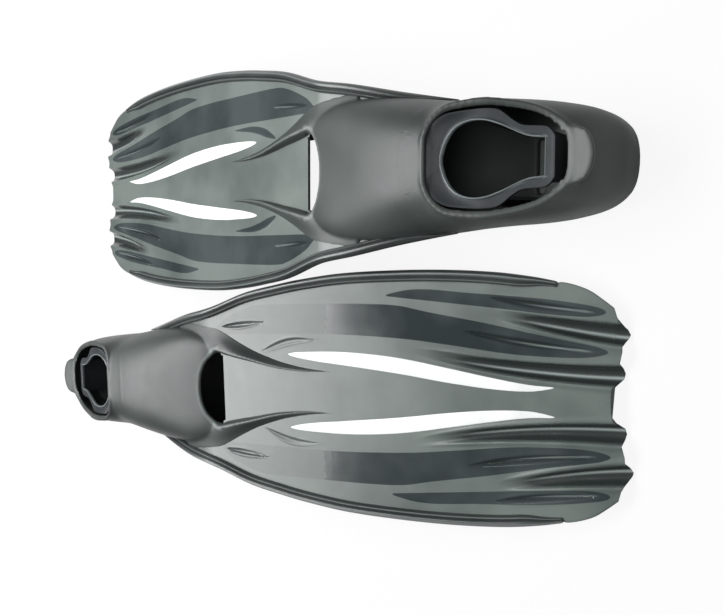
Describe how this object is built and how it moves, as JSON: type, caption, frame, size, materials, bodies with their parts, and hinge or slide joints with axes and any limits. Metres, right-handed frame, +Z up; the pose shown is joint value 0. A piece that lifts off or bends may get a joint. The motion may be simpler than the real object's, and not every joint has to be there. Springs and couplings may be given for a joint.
{
  "type": "swim fins",
  "caption": "Pair of full-foot swim fins laid head to tail: rubber foot pockets, channelled blades with edge rails and white inlays, and lift-out plastic formers.",
  "frame": {"origin": "middle of the pair's bounding box, on the floor that both fins lie on", "axes": "+Z up; both fins lie along Y, the left one with its tip towards -Y and the right one with its tip towards +Y; +X is to the right as seen from the -Y end"},
  "size_m": [0.4002, 0.627, 0.1027],
  "materials": {
    "pocket_rubber": "smooth black thermoplastic rubber with a soft satin sheen",
    "blade_plastic": "dark grey satin technopolymer with glossier bands",
    "rail_rubber": "black rubber, satin",
    "white_inlay": "white moulded inlay, satin gloss",
    "former_plastic": "thin black packing plastic"
  },
  "bodies": {
    "fins": {"left_foot_pocket": "pocket_rubber", "left_blade": "blade_plastic", "left_outer_rail": "rail_rubber", "left_inner_rail": "rail_rubber", "left_outer_inlay": "white_inlay", "left_inner_inlay": "white_inlay", "right_foot_pocket": "pocket_rubber", "right_blade": "blade_plastic", "right_outer_rail": "rail_rubber", "right_inner_rail": "rail_rubber", "right_outer_inlay": "white_inlay", "right_inner_inlay": "white_inlay"},
    "left_former": {"left_pocket_former": "former_plastic"},
    "right_former": {"right_pocket_former": "former_plastic"}
  },
  "joints": [
    {"name": "left_former_lift", "type": "slide", "parent": "fins", "child": "left_former", "axis": [0, 0, 1], "range_m": [0, 0.12]},
    {"name": "right_former_lift", "type": "slide", "parent": "fins", "child": "right_former", "axis": [0, 0, 1], "range_m": [0, 0.12]}
  ]
}
